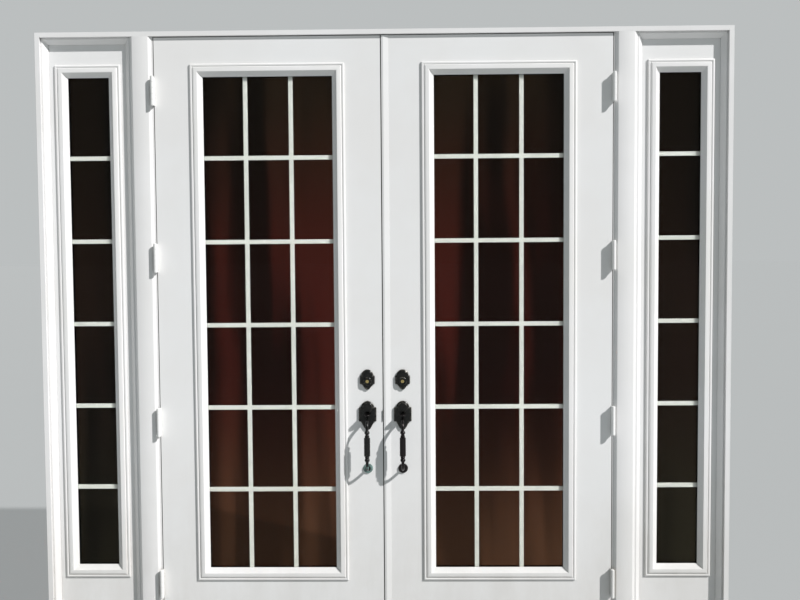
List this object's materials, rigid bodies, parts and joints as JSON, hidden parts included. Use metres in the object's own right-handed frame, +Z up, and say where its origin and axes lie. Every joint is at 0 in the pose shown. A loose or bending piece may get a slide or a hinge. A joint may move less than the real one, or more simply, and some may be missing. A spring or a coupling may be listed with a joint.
{
  "type": "double patio door with sidelites",
  "caption": "Pair of outswing glazed doors with divided lites, side panels, moulded lite frames, butt hinges and bowed grips, in a painted frame.",
  "frame": {"origin": "sill's underside, on the line between the two leaves and in the plane of their outer faces", "axes": "+X to the right seen from outside, +Y from outside to inside, +Z up"},
  "size_m": [2.786, 0.1932, 2.49],
  "materials": {
    "leaf_paint": "satin white paint",
    "frame_paint": "satin white paint",
    "lite_moulding": "white moulded plastic",
    "grille": "off-white flat bars",
    "glass": "clear sealed unit, dark inside",
    "hinge_paint": "white paint",
    "dark_bronze": "oil-rubbed, near black",
    "key_brass": "bright brass",
    "dark_steel": "blackened",
    "bolt_steel": "satin",
    "sill_metal": "mill finish",
    "sill_composite": "composite",
    "seal_rubber": "soft seal"
  },
  "bodies": {
    "frame": {"sill_base": "sill_composite", "sill_deck": "sill_metal", "sill_riser": "sill_composite", "head_jamb": "frame_paint", "side_jambs": "frame_paint", "frame_stops": "frame_paint", "left_mull_post": "frame_paint", "right_mull_post": "frame_paint", "mull_casings": "frame_paint", "sidelite_stops": "frame_paint", "door_weatherstrip": "seal_rubber", "left_sidelite_panel": "leaf_paint", "left_sidelite_glass": "glass", "left_sidelite_grille": "grille", "left_sidelite_outer_frame": "lite_moulding", "left_sidelite_inner_frame": "lite_moulding", "right_sidelite_panel": "leaf_paint", "right_sidelite_glass": "glass", "right_sidelite_grille": "grille", "right_sidelite_outer_frame": "lite_moulding", "right_sidelite_inner_frame": "lite_moulding", "frame_hinge_leaves": "hinge_paint", "hinge_pins": "hinge_paint"},
    "left_leaf": {"left_slab": "leaf_paint", "left_door_glass": "glass", "left_door_grille": "grille", "left_outer_lite_frame": "lite_moulding", "left_inner_lite_frame": "lite_moulding", "left_door_hinge_leaves": "hinge_paint", "left_sweep": "seal_rubber", "left_handle_plate": "dark_bronze", "left_grip": "dark_bronze", "left_deadbolt_rose": "dark_bronze", "left_inside_plates": "dark_bronze", "left_lock_cases": "dark_steel"},
    "right_leaf": {"right_slab": "leaf_paint", "right_door_glass": "glass", "right_door_grille": "grille", "right_outer_lite_frame": "lite_moulding", "right_inner_lite_frame": "lite_moulding", "right_door_hinge_leaves": "hinge_paint", "right_sweep": "seal_rubber", "right_handle_plate": "dark_bronze", "right_grip": "dark_bronze", "right_deadbolt_rose": "dark_bronze", "right_inside_plates": "dark_bronze", "right_thumbpiece": "dark_bronze", "right_key_plug": "key_brass", "right_inside_knob": "dark_bronze", "astragal": "leaf_paint", "astragal_seal": "seal_rubber", "astragal_strikes": "dark_steel"},
    "thumbpiece": {"left_thumbpiece": "dark_bronze"},
    "latch": {"latch_bolt": "bolt_steel"},
    "inside_knob": {"left_inside_knob": "dark_bronze"},
    "thumbturn": {"left_thumbturn": "dark_bronze"},
    "deadbolt": {"deadbolt": "bolt_steel"},
    "key_plug": {"left_key_plug": "key_brass"},
    "top_bolt": {"astragal_top_bolt": "bolt_steel"},
    "bottom_bolt": {"astragal_bottom_bolt": "bolt_steel"}
  },
  "joints": [
    {"name": "left_leaf_hinge", "type": "hinge", "parent": "frame", "child": "left_leaf", "pos_m": [-0.9195, -0.024, 1.252], "axis": [0, 0, -1], "range_deg": [0, 170]},
    {"name": "right_leaf_hinge", "type": "hinge", "parent": "frame", "child": "right_leaf", "pos_m": [0.9195, -0.024, 1.252], "axis": [0, 0, 1], "range_deg": [0, 170]},
    {"name": "thumbpiece_lift", "type": "hinge", "parent": "left_leaf", "child": "thumbpiece", "pos_m": [-0.0715, -0.00475, 0.9487], "axis": [-1, 0, 0], "range_deg": [0, 14]},
    {"name": "latch_slide", "type": "slide", "parent": "left_leaf", "child": "latch", "axis": [1, 0, 0], "range_m": [0, 0.0127]},
    {"name": "inside_knob_turn", "type": "hinge", "parent": "left_leaf", "child": "inside_knob", "pos_m": [-0.0715, 0.06, 0.942], "axis": [0, 1, 0], "range_deg": [-60, 60]},
    {"name": "thumbturn_turn", "type": "hinge", "parent": "left_leaf", "child": "thumbturn", "pos_m": [-0.0715, 0.06, 1.0817], "axis": [0, 1, 0], "range_deg": [0, 90]},
    {"name": "deadbolt_slide", "type": "slide", "parent": "left_leaf", "child": "deadbolt", "axis": [1, 0, 0], "range_m": [0, 0.0254]},
    {"name": "key_plug_turn", "type": "hinge", "parent": "left_leaf", "child": "key_plug", "pos_m": [-0.0715, -0.01, 1.0817], "axis": [0, 1, 0], "range_deg": [0, 90]},
    {"name": "top_bolt_slide", "type": "slide", "parent": "right_leaf", "child": "top_bolt", "axis": [0, 0, 1], "range_m": [0, 0.016]},
    {"name": "bottom_bolt_slide", "type": "slide", "parent": "right_leaf", "child": "bottom_bolt", "axis": [0, 0, -1], "range_m": [0, 0.026]}
  ],
  "couplings": [
    {"joint": "thumbpiece_lift", "follows": "latch_slide", "rad_per_m": 19.24},
    {"joint": "thumbturn_turn", "follows": "deadbolt_slide", "rad_per_m": 61.84},
    {"joint": "key_plug_turn", "follows": "deadbolt_slide", "rad_per_m": 61.84}
  ]
}
